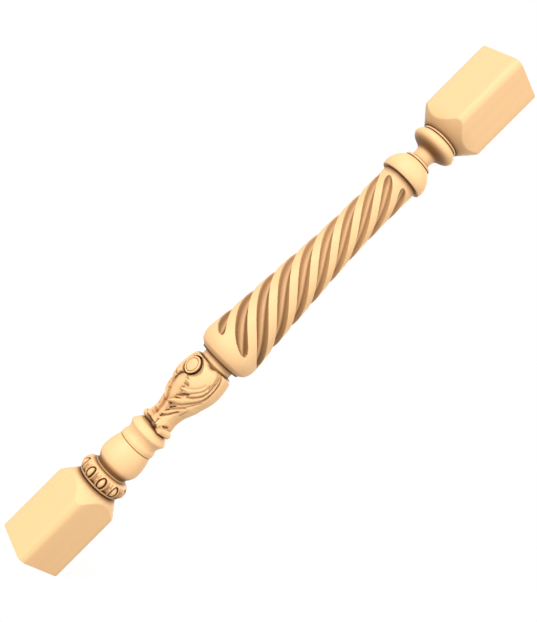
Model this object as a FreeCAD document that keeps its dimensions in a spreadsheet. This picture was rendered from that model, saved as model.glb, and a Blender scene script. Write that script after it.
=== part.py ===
import FreeCAD, Part
import math
import os

import Sketcher

# A turned and carved wooden stair baluster, modelled in millimetres as the one piece of wood it is.
# It stands on its square foot, with the origin at the middle of the foot's underside and +Z up.
# The block faces are square to X and Y. The scroll buttons face -Y and +Y, the leaves +X and -X.

doc = FreeCAD.newDocument("stair_baluster")
sheet = doc.addObject("Spreadsheet::Sheet", "sizes")

SIZES = {
    # square foot and head, with turned shoulders
    "total_height": 900,
    "block_width": 75,
    "block_edge_radius": 10.5,
    "foot_block_height": 98.4,
    "foot_shoulder_rise": 27.8,
    "foot_neck_radius": 31.4,
    "head_block_height": 101.6,
    "head_shoulder_drop": 27.4,
    "head_neck_radius": 29.3,
    "core_radius": 10,
    # band that carries the eggs
    "ring_lower_rise": 1.8,
    "ring_radius": 32.2,
    "ring_rise": 18.6,
    "ring_upper_rise": 2.2,
    "ring_head_radius": 28.2,
    "ring_hollow_rise": 4.2,
    # vase with its band, cove and flange
    "vase_foot_radius": 23.9,
    "vase_lower_rise": 16.3,
    "vase_radius": 30.8,
    "vase_upper_rise": 28,
    "vase_head_radius": 25.3,
    "band_quirk_rise": 1,
    "band_radius": 26.4,
    "band_rise": 6.8,
    "cove_lower_rise": 5.4,
    "cove_radius": 24.3,
    "cove_upper_rise": 9.3,
    "flange_radius": 28.7,
    "flange_rise": 1.7,
    "flange_round_rise": 10.3,
    "flange_head_radius": 21.5,
    # leaf bulb
    "stem_lower_rise": 21,
    "stem_radius": 18.6,
    "bulb_rise": 94.2,
    "bulb_flank_rise": 31,
    "bulb_flank_radius": 25.5,
    "bulb_widest_rise": 67,
    "bulb_radius": 33,
    "bulb_rim_rise": 91.7,
    "bulb_rim_radius": 30.5,
    "bulb_seat": 0.4,
    "neck_radius": 23.6,
    "neck_rise": 9.2,
    # shaft
    "shaft_under_rise": 0.8,
    "shaft_under_radius": 30.5,
    "shaft_round_rise": 23.7,
    "shaft_radius": 42.5,
    "shaft_taper_rise": 150,
    "shaft_taper_radius": 30.5,
    "shaft_waist_rise": 104,
    "shaft_waist_radius": 26.3,
    "shaft_head_radius": 26.6,
    # torus, throat and collar, measured down from the head's shoulder
    "head_fillet_drop": 2.6,
    "head_fillet_radius": 26.3,
    "torus_upper_drop": 10,
    "torus_radius": 32.6,
    "torus_under_drop": 2.8,
    "torus_under_radius": 31.7,
    "torus_lower_drop": 4.8,
    "torus_foot_radius": 27,
    "throat_flare_drop": 9.6,
    "throat_radius": 13.9,
    "throat_drop": 9.6,
    "bead_ledge_drop": 0.8,
    "bead_radius": 17.4,
    "bead_drop": 2.8,
    "collar_round_drop": 25.2,
    "collar_radius": 32.9,
    "collar_lip_drop": 6.8,
    "collar_lip_radius": 31.4,
    # spiral flutes, cut by a round-nosed cutter that shrinks towards the head
    "flute_count": 6,
    "flute_pitch": 228,
    "flute_turn": 25.7,
    "flute_foot_margin": 11,
    "flute_head_margin": 16.2,
    "flute_foot_nose": 8.4,
    "flute_head_nose": 6.6,
    "flute_foot_lift": 2.3,
    "flute_head_lift": 1.8,
    # eggs and the upright strips that frame them
    "egg_count": 10,
    "egg_height": 15.6,
    "egg_width": 8.4,
    "strip_turn": 11.5,
    "strip_root": 1,
    "strip_width": 2,
    "strip_height": 17,
    "strip_depth": 2.8,
    # scroll buttons on the front and back of the bulb
    "button_drop": 15.6,
    "button_radius": 12.5,
    "button_reach": 31.8,
    "button_disc_radius": 9.6,
    "button_disc_rise": 1.1,
    "socket_radius": 15.2,
    "socket_floor": 26.5,
    # acanthus leaves on the sides of the bulb, with a scroll roll at the foot of each
    "leaf_width": 9,
    "leaf_rise": 2.2,
    "leaf_sink": 1.4,
    "roll_radius": 5.6,
    "roll_length": 20,
    "roll_reach": 19.6,
    "roll_drop": 16,
}
for row, (name, number) in enumerate(SIZES.items(), 1):
    sheet.set(f"A{row}", name)
    sheet.set(f"B{row}", str(number))
    sheet.setAlias(f"B{row}", name)
doc.recompute()


def size(name):
    return float(sheet.get(name))


body = doc.addObject("PartDesign::Body", "turned_body")
origin = {feature.Role: feature for feature in body.Origin.OriginFeatures}


def sketch_on(plane, name):
    sketch = body.newObject("Sketcher::SketchObject", name)
    sketch.AttachmentSupport = [(origin[plane], "")]
    sketch.MapMode = "FlatFace"
    return sketch


def constrain(sketch, kind, *places):
    sketch.addConstraint(Sketcher.Constraint(kind, *places))


def dimension(sketch, kind, first, second, expression):
    """A distance between two sketch points, bound to the sheet."""
    value = float(sketch.evalExpression(expression))
    index = sketch.addConstraint(Sketcher.Constraint(kind, *first, *second, value))
    sketch.setExpression(f"Constraints[{index}]", expression)


def point(radius, height):
    return FreeCAD.Vector(radius, height, 0)


ROOT = (-1, 1)
FLAT_LIMIT = 1e-6
CORNER = "sizes.block_width / sqrt(2)"
HEAD_START = "sizes.total_height - sizes.head_block_height"
HEAD_NECK = HEAD_START + " - sizes.head_shoulder_drop"
FOOT_NECK = "sizes.foot_block_height + sizes.foot_shoulder_rise"
foot_neck_height = size("foot_block_height") + size("foot_shoulder_rise")
head_start_height = size("total_height") - size("head_block_height")
head_neck_height = head_start_height - size("head_shoulder_drop")

# The blank: a square bar with rounded long edges.
blank_sketch = sketch_on("XY_Plane", "blank_sketch")
half_width = size("block_width") / 2
corners = [
    FreeCAD.Vector(x * half_width, y * half_width, 0) for x, y in ((-1, -1), (1, -1), (1, 1), (-1, 1))
]
for side in range(4):
    blank_sketch.addGeometry(Part.LineSegment(corners[side], corners[(side + 1) % 4]))
for side in range(4):
    constrain(blank_sketch, "Coincident", side, 2, (side + 1) % 4, 1)
    constrain(blank_sketch, "Vertical" if side % 2 else "Horizontal", side)
constrain(blank_sketch, "Symmetric", 0, 1, 1, 2, *ROOT)
dimension(blank_sketch, "DistanceX", (0, 1), (0, 2), "sizes.block_width")
dimension(blank_sketch, "DistanceY", (1, 1), (1, 2), "sizes.block_width")
blank = body.newObject("PartDesign::Pad", "blank")
blank.Profile = blank_sketch
blank.setExpression("Length", "sizes.total_height")
doc.recompute()
long_edges = [
    f"Edge{index}"
    for index, edge in enumerate(blank.Shape.Edges, 1)
    if abs(edge.tangentAt(edge.FirstParameter).z) > 0.9
]
rounded_blank = body.newObject("PartDesign::Fillet", "rounded_blank")
rounded_blank.Base = (blank, long_edges)
rounded_blank.setExpression("Radius", "sizes.block_edge_radius")

# The shoulders: the lathe leaves a cone on each block and a thin core between the two necks.
shoulder_sketch = sketch_on("XZ_Plane", "shoulder_sketch")
shoulder_corners = [
    ("sizes.block_width", "sizes.foot_block_height"),
    (CORNER, "sizes.foot_block_height"),
    ("sizes.foot_neck_radius", FOOT_NECK),
    ("sizes.core_radius", FOOT_NECK),
    ("sizes.core_radius", HEAD_NECK),
    ("sizes.head_neck_radius", HEAD_NECK),
    (CORNER, HEAD_START),
    ("sizes.block_width", HEAD_START),
]
shoulder_points = [
    point(*(float(shoulder_sketch.evalExpression(expression)) for expression in corner))
    for corner in shoulder_corners
]
for index, start in enumerate(shoulder_points):
    end = shoulder_points[(index + 1) % len(shoulder_points)]
    shoulder_sketch.addGeometry(Part.LineSegment(start, end))
for index, (radius, height) in enumerate(shoulder_corners):
    constrain(shoulder_sketch, "Coincident", index, 2, (index + 1) % len(shoulder_corners), 1)
    dimension(shoulder_sketch, "DistanceX", ROOT, (index, 1), radius)
    dimension(shoulder_sketch, "DistanceY", ROOT, (index, 1), height)
shoulders = body.newObject("PartDesign::Groove", "shoulders")
shoulders.Profile = shoulder_sketch
shoulders.ReferenceAxis = (shoulder_sketch, ["V_Axis"])
shoulders.Angle = 360

# The turned members: each is a radius and its rise above the last one, or its drop below it.
# A line runs straight to that radius.
# A swell is an arc that stands upright where it ends, a fall one that stands upright where it starts.
UPWARD = [
    ("line", "ring_radius", "ring_lower_rise"),
    ("line", "ring_radius", "ring_rise"),
    ("line", "ring_head_radius", "ring_upper_rise"),
    ("line", "vase_foot_radius", "ring_hollow_rise"),
    ("swell", "vase_radius", "vase_lower_rise"),
    ("fall", "vase_head_radius", "vase_upper_rise"),
    ("line", "band_radius", "band_quirk_rise"),
    ("line", "band_radius", "band_rise"),
    ("line", "cove_radius", "cove_lower_rise"),
    ("line", "flange_radius", "cove_upper_rise"),
    ("line", "flange_radius", "flange_rise"),
    ("line", "flange_head_radius", "flange_round_rise"),
    ("line", "stem_radius", "stem_lower_rise"),
    ("line", "neck_radius", "bulb_rise"),
    ("line", "neck_radius", "neck_rise"),
    ("line", "shaft_under_radius", "shaft_under_rise"),
    ("swell", "shaft_radius", "shaft_round_rise"),
]
DOWNWARD = [
    ("line", "head_fillet_radius", "head_fillet_drop"),
    ("swell", "torus_radius", "torus_upper_drop"),
    ("line", "torus_under_radius", "torus_under_drop"),
    ("line", "torus_foot_radius", "torus_lower_drop"),
    ("line", "throat_radius", "throat_flare_drop"),
    ("line", "throat_radius", "throat_drop"),
    ("line", "bead_radius", "bead_ledge_drop"),
    ("line", "bead_radius", "bead_drop"),
    ("swell", "collar_radius", "collar_round_drop"),
    ("line", "collar_lip_radius", "collar_lip_drop"),
]
member_sketch = sketch_on("XZ_Plane", "member_sketch")


def arc_between(start, end, upright):
    """An arc whose tangent is vertical at the upright end, and whether it runs from start to end."""
    other = end if upright is start else start
    middle = (other.x**2 + (other.y - upright.y) ** 2 - upright.x**2) / (2 * (other.x - upright.x))
    centre = point(middle, upright.y)
    angles = [math.atan2(place.y - centre.y, place.x - centre.x) for place in (start, end)]
    forward = (angles[1] - angles[0]) % (2 * math.pi) < math.pi
    if not forward:
        angles.reverse()
    circle = Part.Circle(centre, FreeCAD.Vector(0, 0, 1), abs(upright.x - middle))
    return Part.ArcOfCircle(circle, *angles), forward


def turned_run(members, start, direction):
    """Draws members one after another; returns the sketch points at both ends and where the run stops."""
    here, last, beginning = start, None, None
    for shape, radius, step in members:
        there = point(size(radius), here.y + direction * size(step))
        forward = True
        curve = Part.LineSegment(here, there)
        if shape != "line":
            curve, forward = arc_between(here, there, there if shape == "swell" else here)
        geometry = member_sketch.addGeometry(curve)
        near, far = ((geometry, 1), (geometry, 2)) if forward else ((geometry, 2), (geometry, 1))
        if shape != "line":
            constrain(member_sketch, "Horizontal", geometry, 3, *(far if shape == "swell" else near))
        if last:
            constrain(member_sketch, "Coincident", *last, *near)
        dimension(member_sketch, "DistanceX", ROOT, far, f"sizes.{radius}")
        lower, upper = (near, far) if direction > 0 else (far, near)
        dimension(member_sketch, "DistanceY", lower, upper, f"sizes.{step}")
        here, last, beginning = there, far, beginning or near
    return beginning, last, here


foot_point = point(size("foot_neck_radius"), foot_neck_height)
head_point = point(size("head_neck_radius"), head_neck_height)
foot_end, shaft_foot_end, shaft_foot = turned_run(UPWARD, foot_point, 1)
head_end, lip_end, lip = turned_run(DOWNWARD, head_point, -1)
inner_points = [
    head_point,
    point(0, head_neck_height),
    point(0, foot_neck_height),
    foot_point,
]
core_points = [
    shaft_foot,
    point(size("core_radius"), shaft_foot.y),
    point(size("core_radius"), lip.y),
    lip,
]
top, axis, bottom, foot_disc, core, head_disc = [
    member_sketch.addGeometry(Part.LineSegment(start, end))
    for points in (inner_points, core_points)
    for start, end in zip(points, points[1:])
]
for first, second in (
    (head_end, (top, 1)),
    ((top, 2), (axis, 1)),
    ((axis, 2), (bottom, 1)),
    ((bottom, 2), foot_end),
    (shaft_foot_end, (foot_disc, 1)),
    ((foot_disc, 2), (core, 1)),
    ((core, 2), (head_disc, 1)),
    ((head_disc, 2), lip_end),
):
    constrain(member_sketch, "Coincident", *first, *second)
for line in (top, bottom, foot_disc, head_disc):
    constrain(member_sketch, "Horizontal", line)
constrain(member_sketch, "PointOnObject", axis, 1, -2)
constrain(member_sketch, "PointOnObject", axis, 2, -2)
constrain(member_sketch, "Vertical", core)
dimension(member_sketch, "DistanceX", ROOT, (core, 1), "sizes.core_radius")
dimension(member_sketch, "DistanceX", ROOT, foot_end, "sizes.foot_neck_radius")
dimension(member_sketch, "DistanceX", ROOT, head_end, "sizes.head_neck_radius")
dimension(member_sketch, "DistanceY", ROOT, foot_end, FOOT_NECK)
dimension(member_sketch, "DistanceY", ROOT, head_end, HEAD_NECK)
members = body.newObject("PartDesign::Revolution", "members")
members.Profile = member_sketch
members.ReferenceAxis = (member_sketch, ["V_Axis"])
members.Angle = 360
doc.recompute()


# The strips: upright bars on the band, a pair beside each egg.
ring_middle = foot_neck_height + size("ring_lower_rise") + size("ring_rise") / 2
strip_pair = []
for side in (-1, 1):
    strip = body.newObject("PartDesign::AdditiveBox", "strip")
    strip.setExpression("Length", "sizes.strip_root + sizes.strip_depth")
    strip.setExpression("Width", "sizes.strip_width")
    strip.setExpression("Height", "sizes.strip_height")
    turn = FreeCAD.Rotation(FreeCAD.Vector(0, 0, 1), side * size("strip_turn"))
    inner_corner = FreeCAD.Vector(size("ring_radius") - size("strip_root"), -size("strip_width") / 2, 0)
    strip_foot = FreeCAD.Vector(0, 0, ring_middle - size("strip_height") / 2)
    strip.Placement = FreeCAD.Placement(turn.multVec(inner_corner) + strip_foot, turn)
    strip_pair.append(strip)
strips = body.newObject("PartDesign::PolarPattern", "strips")
strips.Originals = strip_pair
strips.Axis = (origin["Z_Axis"], [""])
strips.Angle = 360
strips.setExpression("Occurrences", "sizes.egg_count")

# The rolls: the foot of each leaf curls over into a short roll above the flange.
stem_steps = [step for _, _, step in UPWARD]
stem_steps = stem_steps[: stem_steps.index("bulb_rise")]
bulb_foot = foot_neck_height + sum(size(step) for step in stem_steps)
facing_front = FreeCAD.Rotation(FreeCAD.Vector(1, 0, 0), 90)
roll = body.newObject("PartDesign::AdditiveCylinder", "roll")
roll.setExpression("Radius", "sizes.roll_radius")
roll.setExpression("Height", "sizes.roll_length")
roll_end = FreeCAD.Vector(size("roll_reach"), size("roll_length") / 2, bulb_foot - size("roll_drop"))
roll.Placement = FreeCAD.Placement(roll_end, facing_front)
rolls = body.newObject("PartDesign::Mirrored", "rolls")
rolls.Originals = [roll]
rolls.MirrorPlane = (origin["YZ_Plane"], [""])
body.Tip = rolls


def flat_faces(corners):
    """One flat face through four corners, or two where the corners do not share a plane."""
    first, second, third, fourth = corners
    normal = (second - first).cross(third - first)
    if normal.Length and abs(normal.normalize().dot(fourth - first)) < FLAT_LIMIT:
        outlines = [corners]
    else:
        outlines = [[first, second, third], [first, third, fourth]]
    return [Part.Face(Part.makePolygon(outline + outline[:1])) for outline in outlines]


def carved(name, sections):
    """A solid of flat cuts through closed sections that all have the same number of corners."""
    faces = [Part.Face(Part.makePolygon(section + section[:1])) for section in (sections[0], sections[-1])]
    for below, above in zip(sections, sections[1:]):
        for index, corner in enumerate(below):
            following = (index + 1) % len(below)
            faces += flat_faces([corner, below[following], above[following], above[index]])
    shell = Part.makeShell(faces)
    shell.sewShape()
    solid = Part.makeSolid(shell)
    if solid.Volume < 0:
        solid.reverse()
    feature = doc.addObject("Part::Feature", name)
    feature.Shape = solid
    return feature


def around(radius, angle, height):
    return FreeCAD.Vector(radius * math.cos(angle), radius * math.sin(angle), height)


def arc_radius(place, upright_place, upright_radius, end_place, end_radius):
    """The radius at a place on an arc that stands upright at one end and runs to the other."""
    spread = end_radius - upright_radius
    bend = (spread**2 + (end_place - upright_place) ** 2) / (2 * spread)
    return upright_radius + bend - math.copysign(math.sqrt(bend**2 - (place - upright_place) ** 2), bend)


# The fluted shaft: flat cuts between sections that turn as they climb.
# No primitive or sweep follows a flute along its curved taper and keeps its rounded ends.
taper_end = shaft_foot.y + size("shaft_taper_rise")
waist = taper_end + size("shaft_waist_rise")


def shaft_radius_at(height):
    if height < taper_end:
        share = (height - shaft_foot.y) / size("shaft_taper_rise")
        return size("shaft_radius") + share * (size("shaft_taper_radius") - size("shaft_radius"))
    if height < waist:
        return arc_radius(
            height, waist, size("shaft_waist_radius"), taper_end, size("shaft_taper_radius")
        )
    share = (height - waist) / (lip.y - waist)
    return size("shaft_waist_radius") + share * (size("shaft_head_radius") - size("shaft_waist_radius"))


flute_foot = shaft_foot.y + size("flute_foot_margin")
flute_head = lip.y - size("flute_head_margin")
CUTTER_STOPS = 400
FLUTE_SLICES = 24
END_SLICES = 4
GROOVE_FLATS = 4
GROOVE_ROUNDNESS = 0.7
LAND_FLATS = 3
END_GAP = 0.1
FLUTE_SPACING = 2 * math.pi / size("flute_count")


def cutter_at(share):
    """The cutter's nose a share of the way up a flute: height, turn, radius and lift off the shaft."""
    height = flute_foot + share * (flute_head - flute_foot)
    turn = math.radians(size("flute_turn") - 360 * (height - flute_foot) / size("flute_pitch"))
    nose = size("flute_foot_nose") + share * (size("flute_head_nose") - size("flute_foot_nose"))
    lift = size("flute_foot_lift") + share * (size("flute_head_lift") - size("flute_foot_lift"))
    return height, turn, nose, lift


cutter_path = [cutter_at(stop / CUTTER_STOPS) for stop in range(CUTTER_STOPS + 1)]


def groove_at(height):
    """The edges of the first flute at a height, as angles, and its depth there."""
    radius = shaft_radius_at(height)
    left, right, depth = math.inf, -math.inf, 0
    for stop, turn, nose, lift in cutter_path:
        reach = nose**2 - lift**2 - (height - stop) ** 2
        if reach > 0:
            left = min(left, turn - math.sqrt(reach) / radius)
            right = max(right, turn + math.sqrt(reach) / radius)
            depth = max(depth, math.sqrt(reach + lift**2) - lift)
    return left, right, depth


def shaft_section(height, groove):
    """The corners of one section in order: across each flute, then across the land beside it."""
    radius = shaft_radius_at(height)
    left, right, depth = groove
    corners = []
    for flute in range(int(size("flute_count"))):
        start = left + flute * FLUTE_SPACING
        for index in range(GROOVE_FLATS):
            share = index / GROOVE_FLATS
            floor = radius - depth * math.sin(math.pi * share) ** GROOVE_ROUNDNESS
            corners.append(around(floor, start + share * (right - left), height))
        for index in range(LAND_FLATS):
            share = index / LAND_FLATS
            land_start = start + right - left
            land_width = FLUTE_SPACING - right + left
            corners.append(around(radius, land_start + share * land_width, height))
    return corners


foot_end_length = math.sqrt(size("flute_foot_nose") ** 2 - size("flute_foot_lift") ** 2)
head_end_length = math.sqrt(size("flute_head_nose") ** 2 - size("flute_head_lift") ** 2)
end_shares = [1 - math.cos(index * math.pi / 2 / END_SLICES) for index in range(1, END_SLICES + 1)]
flute_low = flute_foot - foot_end_length + END_GAP
flute_high = flute_head + head_end_length - END_GAP
heights = [flute_low] + [flute_low + share * (flute_foot - flute_low) for share in end_shares]
climb = flute_head - flute_foot
heights += [flute_foot + climb * index / FLUTE_SLICES for index in range(1, FLUTE_SLICES)]
heights += [flute_high - share * (flute_high - flute_head) for share in reversed(end_shares)] + [flute_high]
sections = [shaft_section(height, groove_at(height)) for height in heights]
sections.insert(0, shaft_section(shaft_foot.y, (*groove_at(flute_low)[:2], 0)))
sections.append(shaft_section(lip.y, (*groove_at(flute_high)[:2], 0)))
fluted_shaft = carved("fluted_shaft", sections)

# The bulb: a blank of flat cuts that swells from its stem to its widest, then draws in to the rim.
BULB_FLATS = 20
flank_rise = size("bulb_flank_rise")
widest_rise = size("bulb_widest_rise")
rim_rise = size("bulb_rim_rise")


def bulb_radius_at(rise):
    if rise < 0:
        return size("stem_radius")
    if rise < flank_rise:
        return arc_radius(rise, 0, size("stem_radius"), flank_rise, size("bulb_flank_radius"))
    if rise < widest_rise:
        return arc_radius(rise, widest_rise, size("bulb_radius"), flank_rise, size("bulb_flank_radius"))
    return arc_radius(rise, widest_rise, size("bulb_radius"), rim_rise, size("bulb_rim_radius"))


def bulb_section(rise, radius):
    corner_radius = radius + size("bulb_seat")
    angles = [2 * math.pi * index / BULB_FLATS for index in range(BULB_FLATS)]
    return [around(corner_radius, angle, bulb_foot + rise) for angle in angles]


def spaced(start, end, count):
    return [start + (end - start) * index / count for index in range(count)]


bulb_rises = spaced(0, flank_rise, 2) + spaced(flank_rise, widest_rise, 3) + spaced(widest_rise, rim_rise, 2)
bulb_sections = [bulb_section(rise, bulb_radius_at(rise)) for rise in bulb_rises + [rim_rise]]
bulb_sections.append(bulb_section(size("bulb_rise"), size("neck_radius")))
bulb_blank = carved("bulb_blank", bulb_sections)

# The leaves: carved feathers, each a ridge from its root near the middle of a leaf to its tip.
# Root, bend and tip are turns from the middle of the leaf and shares of the bulb's height below the rim.
# The last number is the feather's share of the leaf width.
FEATHERS = {
    "upper": ((-24, 0.01), (-33, 0.28), (-64, 0.51), 0.8),
    "second": ((-17, 0.01), (-21, 0.31), (-61, 0.63), 0.7),
    "long": ((-8, 0.02), (-11, 0.4), (-76, 0.8), 1),
    "fourth": ((-3, 0.49), (-23, 0.69), (-54, 0.85), 0.7),
    "fifth": ((-9, 0.71), (-37, 0.87), (-68, 1.03), 0.8),
    "foot": ((-4, 0.88), (-22, 1.05), (-48, 1.16), 0.9),
}
FEATHER_SLICES = 4
FEATHER_END = 0.35


def feather(root, bend, tip, width, side, front):
    """The sections of a three-sided ridge that follows the bulb, mirrored to a side and to front or back."""
    stations = []
    for share in spaced(0, 1, FEATHER_SLICES) + [1]:
        weights = ((1 - share) ** 2, 2 * share * (1 - share), share**2)
        turn, drop = [sum(w * place[k] for w, place in zip(weights, (root, bend, tip))) for k in (0, 1)]
        stations.append((share, math.radians(turn), rim_rise * (1 - drop)))
    sections = []
    for index, (share, turn, rise) in enumerate(stations):
        before = stations[max(index - 1, 0)]
        after = stations[min(index + 1, FEATHER_SLICES)]
        radius = bulb_radius_at(rise)
        along = (radius * (after[1] - before[1]), after[2] - before[2])
        fullness = FEATHER_END + (1 - FEATHER_END) * math.sin(math.pi * (1 + 5 * share) / 7)
        half = size("leaf_width") / 2 * width * fullness / math.hypot(*along)
        corners = []
        for offset, lift in ((-half, -size("leaf_sink")), (0, size("leaf_rise")), (half, -size("leaf_sink"))):
            level = rise + offset * along[0]
            place = around(bulb_radius_at(level) + lift, turn - offset * along[1] / radius, bulb_foot + level)
            corners.append(FreeCAD.Vector(side * place.x, front * place.y, place.z))
        sections.append(corners)
    return sections


feathers = [
    carved(f"{name}_feather", feather(*places, side, front))
    for name, places in FEATHERS.items()
    for side in (1, -1)
    for front in (1, -1)
]
leafy_bulb = doc.addObject("Part::MultiFuse", "leafy_bulb")
leafy_bulb.Shapes = [bulb_blank] + feathers

# The scroll buttons: a stepped disc stands in a round socket sunk into the bulb, in front and again behind.
button_height = bulb_foot + rim_rise - size("button_drop")


def upright_disc(name, facing, radius, start, end):
    """A cylinder that faces the front or the back, bound to the sheet."""
    disc = doc.addObject("Part::Cylinder", name)
    disc.setExpression("Radius", radius)
    disc.setExpression("Height", f"{end} - {start}")
    disc.Placement.Rotation = FreeCAD.Rotation(FreeCAD.Vector(1, 0, 0), facing * -90)
    disc.setExpression("Placement.Base.y", f"{start} * {facing}")
    disc.Placement.Base.z = button_height
    return disc


sockets = []
buttons = []
for facing in (-1, 1):
    sockets.append(
        upright_disc("socket", facing, "sizes.socket_radius", "sizes.socket_floor", "sizes.block_width")
    )
    buttons.append(
        upright_disc("button", facing, "sizes.button_radius", "sizes.core_radius", "sizes.button_reach")
    )
    disc_reach = "(sizes.button_reach + sizes.button_disc_rise)"
    buttons.append(
        upright_disc("button_disc", facing, "sizes.button_disc_radius", "sizes.core_radius", disc_reach)
    )
both_sockets = doc.addObject("Part::MultiFuse", "both_sockets")
both_sockets.Shapes = sockets
carved_bulb = doc.addObject("Part::Cut", "carved_bulb")
carved_bulb.Base = leafy_bulb
carved_bulb.Tool = both_sockets

# The eggs: each stands upright in the band between two strips.
EGG_FLATS = 6
EGG_OUTLINE = ((-1, 0.25), (-0.6, 0.75), (0, 1), (0.6, 0.75), (1, 0.25))
eggs = []
for index in range(int(size("egg_count"))):
    turn = 2 * math.pi * index / size("egg_count")
    centre = around(size("ring_radius"), turn, ring_middle)
    egg_sections = []
    for level, fullness in EGG_OUTLINE:
        middle = centre + FreeCAD.Vector(0, 0, level * size("egg_height") / 2)
        angles = [turn + 2 * math.pi * corner / EGG_FLATS for corner in range(EGG_FLATS)]
        egg_sections.append([middle + around(fullness * size("egg_width") / 2, angle, 0) for angle in angles])
    eggs.append(carved("egg", egg_sections))

baluster = doc.addObject("Part::MultiFuse", "baluster")
baluster.Label = "baluster"
baluster.Shapes = [body, fluted_shaft, carved_bulb] + buttons + eggs
doc.recompute()

for item in doc.Objects:
    if "Invalid" in item.State or "Error" in item.State:
        raise RuntimeError(f"{item.Name} did not rebuild")
    if hasattr(item, "Shape") and (item.Shape.isNull() or not item.Shape.isValid()):
        raise RuntimeError(f"{item.Name} has no sound shape")
if len(baluster.Shape.Solids) != 1:
    raise RuntimeError("the baluster is not one solid")
os.makedirs("parts", exist_ok=True)
baluster.Shape.exportStep("parts/baluster.step")
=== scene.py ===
import math

import bpy
import numpy as np
from mathutils import Matrix, Vector


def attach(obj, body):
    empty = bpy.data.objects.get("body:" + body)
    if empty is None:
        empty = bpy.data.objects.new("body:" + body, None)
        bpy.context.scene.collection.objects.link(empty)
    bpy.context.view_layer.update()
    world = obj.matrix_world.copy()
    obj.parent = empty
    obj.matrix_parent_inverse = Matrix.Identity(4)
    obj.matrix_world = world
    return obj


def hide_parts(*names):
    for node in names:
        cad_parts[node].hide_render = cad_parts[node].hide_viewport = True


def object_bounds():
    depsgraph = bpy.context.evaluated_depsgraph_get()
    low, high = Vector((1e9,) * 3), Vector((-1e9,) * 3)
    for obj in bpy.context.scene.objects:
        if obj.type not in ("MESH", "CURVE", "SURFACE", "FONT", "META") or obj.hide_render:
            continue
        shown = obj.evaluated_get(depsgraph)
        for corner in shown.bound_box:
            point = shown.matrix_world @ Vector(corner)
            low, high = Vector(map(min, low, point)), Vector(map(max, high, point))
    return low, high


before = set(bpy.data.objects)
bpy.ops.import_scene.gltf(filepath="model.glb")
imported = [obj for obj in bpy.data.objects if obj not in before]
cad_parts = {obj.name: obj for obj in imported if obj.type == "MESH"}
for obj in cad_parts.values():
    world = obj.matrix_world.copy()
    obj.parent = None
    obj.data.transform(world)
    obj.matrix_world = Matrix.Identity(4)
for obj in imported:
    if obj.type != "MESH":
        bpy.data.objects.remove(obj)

cad_box = [list(corner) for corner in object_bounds()]

# Foot block: the square lower end that stands on the stair, of solid wood with its long edges rounded.
# It is sawn square and turned to a cone above. A grid is wrapped round the axis, and its rows climb from the
# flat end up the wall and over a soft edge on to the cone. Lengths are in millimetres.
per_metre = 1000
full_turn = 2 * math.pi
weld_distance = 1e-6
smooth_angle = math.radians(38)
block_half = 37.5
block_edge_radius = 10.5
block_soft_edge = 1.7
block_chamfer = 0.4
foot_end, foot_corner, foot_neck, foot_neck_radius = 0, 98.4, 126.2, 31.2
quarter = [0, 6, 12, 18, 24, 30, 35.75, 37.5, 39.5, 41.5, 44, 46, 48.5, 50.5, 52.5, 54.25, 60, 66, 72, 78, 84]
block_turns = np.radians([side * 90 + turn for side in range(4) for turn in quarter])
block_stations = [0, 0.5, 1, 1.4, 1.8, 2, 2.2, 2.4, 2.6, 2.8, 3, 3.25, 3.5, 3.75, 3.9, 4]
# Painted shade on the foot, by height: a little over the cone and dark in the corner under the egg ring.
foot_painted_shade = [(98, 0), (106, 0.05), (120.5, 0.08), (123.5, 0.42), (126.2, 0.85)]


def wrapped(name, turns, stations, shape, glaze):
    """A closed piece from a grid whose columns stand at turns round the axis and whose rows are stations.

    shape gives each point's radius, turn, height and share of painted shade, to which painted shading adds
    its share by height; a negative amount paints light.
    """
    rows = len(stations) - 1
    bpy.ops.object.select_all(action="DESELECT")
    bpy.ops.mesh.primitive_grid_add(x_subdivisions=len(turns), y_subdivisions=rows, size=2)
    piece = bpy.context.object
    piece.name = name
    points = np.empty(len(piece.data.vertices) * 3)
    piece.data.vertices.foreach_get("co", points)
    column = np.rint((points[0::3] + 1) / 2 * len(turns)).astype(int)
    row = np.rint((points[1::3] + 1) / 2 * rows).astype(int)
    closed_turns = np.append(turns, turns[0] + full_turn)
    radius, turn, height, painted_shade = shape(closed_turns[column], np.asarray(stations)[row])
    points = np.column_stack((radius * np.cos(turn), radius * np.sin(turn), height)) / per_metre
    piece.data.vertices.foreach_set("co", points.ravel())
    # Painted shade kept on each point: darkening where shade falls, and painted light where the amount is
    # negative.
    heights, amounts = zip(*glaze)
    painted_shading_layer = piece.data.attributes.new("glaze", "FLOAT", "POINT")
    painted_shading_layer.data.foreach_set("value", np.clip(np.interp(height, heights, amounts) + painted_shade, -1, 1))
    bpy.ops.object.mode_set(mode="EDIT")
    bpy.ops.mesh.select_all(action="SELECT")
    bpy.ops.mesh.remove_doubles(threshold=weld_distance)
    bpy.ops.mesh.fill_holes(sides=0)
    bpy.ops.mesh.normals_make_consistent(inside=False)
    bpy.ops.object.mode_set(mode="OBJECT")
    bpy.ops.object.shade_smooth_by_angle(angle=smooth_angle)
    return piece


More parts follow.
